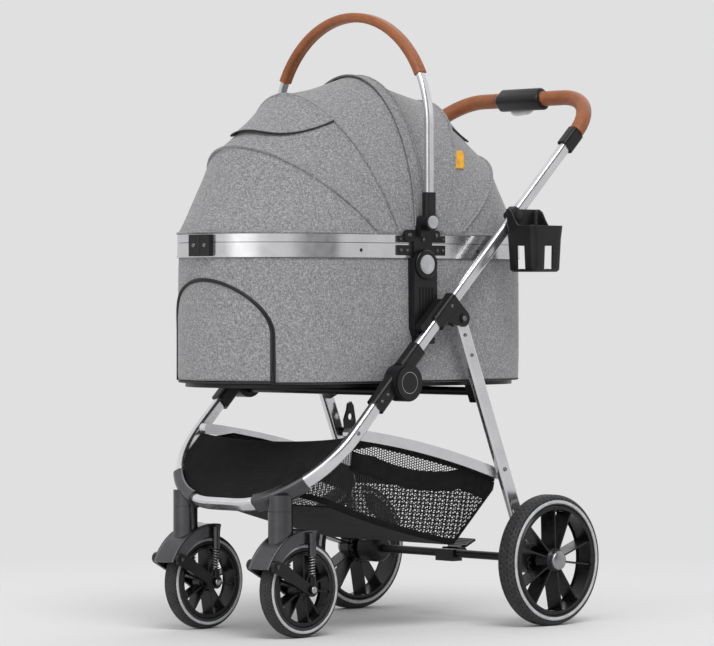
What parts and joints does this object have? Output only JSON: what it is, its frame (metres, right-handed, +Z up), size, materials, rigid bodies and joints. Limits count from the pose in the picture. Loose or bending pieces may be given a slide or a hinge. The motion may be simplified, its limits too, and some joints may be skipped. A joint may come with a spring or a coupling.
{
  "type": "pet stroller",
  "caption": "Folding pet stroller with a lift-off zipped carrier, bow canopy, swivelling sprung front casters, mesh basket and cup holder.",
  "frame": {"origin": "floor under the middle of the bounding box", "axes": "+Z up, -Y to the front where the swivelling wheels are, +X to the left side that carries the cup holder"},
  "size_m": [0.6005, 0.8885, 1.1713],
  "materials": {
    "silver": "satin anodised",
    "black_plastic": "fine matte moulding",
    "dark_plastic": "fine matte moulding",
    "leather": "smooth tan",
    "tyre": "foam rubber",
    "rim": "moulded",
    "grey_cloth": "heather grey weave",
    "black_cloth": "plain weave and mesh",
    "steel": "plated wire",
    "button": "satin grey"
  },
  "bodies": {
    "front_frame": {"front_tube": "silver", "front_sleeves": "black_plastic", "caster_brackets": "black_plastic", "front_cross_tube": "black_plastic", "front_panel": "black_cloth"},
    "handle_frame": {"handle_tube": "silver", "hub_shells": "black_plastic", "leg_collars": "black_plastic", "carrier_receivers": "black_plastic", "handle_collars": "black_plastic", "handle_grip": "leather", "handle_housing": "black_plastic", "cup_holder": "black_plastic"},
    "release_lever": {"release_lever": "silver"},
    "rear_frame": {"rear_legs": "silver", "rear_cross_tube": "black_plastic", "rear_axle": "black_plastic", "axle_housings": "black_plastic"},
    "brake_pedal": {"brake_pedal": "black_plastic"},
    "fold_latch": {"fold_latch": "black_plastic"},
    "basket_frame": {"basket_bars": "silver", "basket": "black_cloth"},
    "caster_left": {"caster_fork_left": "black_plastic", "springs_left": "steel"},
    "caster_right": {"caster_fork_right": "black_plastic", "springs_right": "steel"},
    "suspension_left": {"suspension_arm_left": "black_plastic"},
    "suspension_right": {"suspension_arm_right": "black_plastic"},
    "wheel_front_left": {"tyre_front_left": "tyre", "rim_front_left": "rim"},
    "wheel_front_right": {"tyre_front_right": "tyre", "rim_front_right": "rim"},
    "wheel_rear_left": {"tyre_rear_left": "tyre", "rim_rear_left": "rim"},
    "wheel_rear_right": {"tyre_rear_right": "tyre", "rim_rear_right": "rim"},
    "carrier": {"base_pan": "black_plastic", "tub": "grey_cloth", "mat": "black_cloth", "lower_rail": "silver", "upper_rail": "silver", "rail_joints": "black_plastic", "adapters": "dark_plastic", "middle_bow": "dark_plastic"},
    "adapter_button_left": {"adapter_button_left": "button"},
    "adapter_button_right": {"adapter_button_right": "button"},
    "front_door": {"front_door": "grey_cloth"},
    "carry_handle": {"carry_tube": "silver", "carry_grip": "leather", "carry_pivots": "black_plastic"},
    "carry_button_left": {"carry_button_left": "button"},
    "carry_button_right": {"carry_button_right": "button"},
    "canopy_front_outer": {"front_outer_bow": "dark_plastic", "front_canopy_panel": "grey_cloth"},
    "canopy_front_second": {"front_second_bow": "dark_plastic", "front_gores": "grey_cloth"},
    "canopy_rear_outer": {"rear_outer_bow": "dark_plastic", "rear_canopy_panel": "grey_cloth"},
    "canopy_rear_second": {"rear_second_bow": "dark_plastic", "rear_gores": "grey_cloth"}
  },
  "joints": [
    {"name": "frame_fold", "type": "hinge", "parent": "front_frame", "child": "handle_frame", "pos_m": [0, -0.13, 0.468], "axis": [1, 0, 0], "range_deg": [-100, 0]},
    {"name": "rear_leg_fold", "type": "hinge", "parent": "handle_frame", "child": "rear_frame", "pos_m": [0, 0.02196, 0.587], "axis": [1, 0, 0], "range_deg": [0, 56.5]},
    {"name": "basket_bar_fold", "type": "hinge", "parent": "front_frame", "child": "basket_frame", "pos_m": [0, -0.24597, 0.37503], "axis": [1, 0, 0], "range_deg": [-61.6, 0], "deforming": ["basket"]},
    {"name": "release_squeeze", "type": "slide", "parent": "handle_frame", "child": "release_lever", "axis": [0, -0.6947, 0.7193], "range_m": [0, 0.005], "stiffness_N_per_m": 400, "springref_m": -0.003},
    {"name": "brake_press", "type": "hinge", "parent": "rear_frame", "child": "brake_pedal", "pos_m": [0, 0.2305, 0.129], "axis": [1, 0, 0], "range_deg": [-16, 0]},
    {"name": "latch_swing", "type": "hinge", "parent": "rear_frame", "child": "fold_latch", "pos_m": [-0.2, 0.12174, 0.36025], "axis": [1, 0, 0], "range_deg": [0, 75]},
    {"name": "caster_swivel_left", "type": "hinge", "parent": "front_frame", "child": "caster_left", "pos_m": [0.133, -0.35724, 0.2], "axis": [0, 0, 1], "continuous": true},
    {"name": "suspension_left", "type": "hinge", "parent": "caster_left", "child": "suspension_left", "pos_m": [0.133, -0.39777, 0.13601], "axis": [1, 0, 0], "range_deg": [0, 3.5], "stiffness_Nm_per_rad": 70, "springref_deg": -6.88, "deforming": ["springs_left"]},
    {"name": "front_wheel_spin_left", "type": "hinge", "parent": "suspension_left", "child": "wheel_front_left", "pos_m": [0.133, -0.31124, 0.09], "axis": [1, 0, 0], "continuous": true},
    {"name": "caster_swivel_right", "type": "hinge", "parent": "front_frame", "child": "caster_right", "pos_m": [-0.133, -0.35724, 0.2], "axis": [0, 0, 1], "continuous": true},
    {"name": "suspension_right", "type": "hinge", "parent": "caster_right", "child": "suspension_right", "pos_m": [-0.133, -0.39777, 0.13601], "axis": [1, 0, 0], "range_deg": [0, 3.5], "stiffness_Nm_per_rad": 70, "springref_deg": -6.88, "deforming": ["springs_right"]},
    {"name": "front_wheel_spin_right", "type": "hinge", "parent": "suspension_right", "child": "wheel_front_right", "pos_m": [-0.133, -0.31124, 0.09], "axis": [1, 0, 0], "continuous": true},
    {"name": "rear_wheel_spin_left", "type": "hinge", "parent": "rear_frame", "child": "wheel_rear_left", "pos_m": [0.271, 0.211, 0.125], "axis": [1, 0, 0], "continuous": true},
    {"name": "rear_wheel_spin_right", "type": "hinge", "parent": "rear_frame", "child": "wheel_rear_right", "pos_m": [-0.271, 0.211, 0.125], "axis": [1, 0, 0], "continuous": true},
    {"name": "carrier_lift", "type": "slide", "parent": "front_frame", "child": "carrier", "axis": [0, 0, 1], "range_m": [0, 0.12]},
    {"name": "adapter_press_left", "type": "slide", "parent": "carrier", "child": "adapter_button_left", "axis": [-1, 0, 0], "range_m": [0, 0.003], "stiffness_N_per_m": 500, "springref_m": -0.003},
    {"name": "adapter_press_right", "type": "slide", "parent": "carrier", "child": "adapter_button_right", "axis": [1, 0, 0], "range_m": [0, 0.003], "stiffness_N_per_m": 500, "springref_m": -0.003},
    {"name": "door_drop", "type": "hinge", "parent": "carrier", "child": "front_door", "pos_m": [0, -0.4295, 0.4713], "axis": [1, 0, 0], "range_deg": [0, 100]},
    {"name": "carry_swing", "type": "hinge", "parent": "carrier", "child": "carry_handle", "pos_m": [0, -0.052, 0.7673], "axis": [1, 0, 0], "range_deg": [-55, 88]},
    {"name": "carry_press_left", "type": "slide", "parent": "carry_handle", "child": "carry_button_left", "axis": [-1, 0, 0], "range_m": [0, 0.003], "stiffness_N_per_m": 300, "springref_m": -0.003},
    {"name": "carry_press_right", "type": "slide", "parent": "carry_handle", "child": "carry_button_right", "axis": [1, 0, 0], "range_m": [0, 0.003], "stiffness_N_per_m": 300, "springref_m": -0.003},
    {"name": "canopy_front_fold", "type": "hinge", "parent": "carrier", "child": "canopy_front_outer", "pos_m": [0, -0.136, 0.7513], "axis": [1, 0, 0], "range_deg": [-35, 0], "deforming": ["front_canopy_panel", "front_gores"]},
    {"name": "canopy_front_second_fold", "type": "hinge", "parent": "carrier", "child": "canopy_front_second", "pos_m": [0, -0.136, 0.7513], "axis": [1, 0, 0], "range_deg": [-23, 0]},
    {"name": "canopy_rear_fold", "type": "hinge", "parent": "carrier", "child": "canopy_rear_outer", "pos_m": [0, 0.032, 0.7513], "axis": [1, 0, 0], "range_deg": [0, 35], "deforming": ["rear_canopy_panel", "rear_gores"]},
    {"name": "canopy_rear_second_fold", "type": "hinge", "parent": "carrier", "child": "canopy_rear_second", "pos_m": [0, 0.032, 0.7513], "axis": [1, 0, 0], "range_deg": [0, 23]}
  ],
  "couplings": [
    {"joint": "rear_leg_fold", "follows": "frame_fold", "ratio": -0.56},
    {"joint": "basket_bar_fold", "follows": "frame_fold", "ratio": 0.611},
    {"joint": "canopy_front_second_fold", "follows": "canopy_front_fold", "ratio": 0.65},
    {"joint": "canopy_rear_second_fold", "follows": "canopy_rear_fold", "ratio": 0.65}
  ]
}
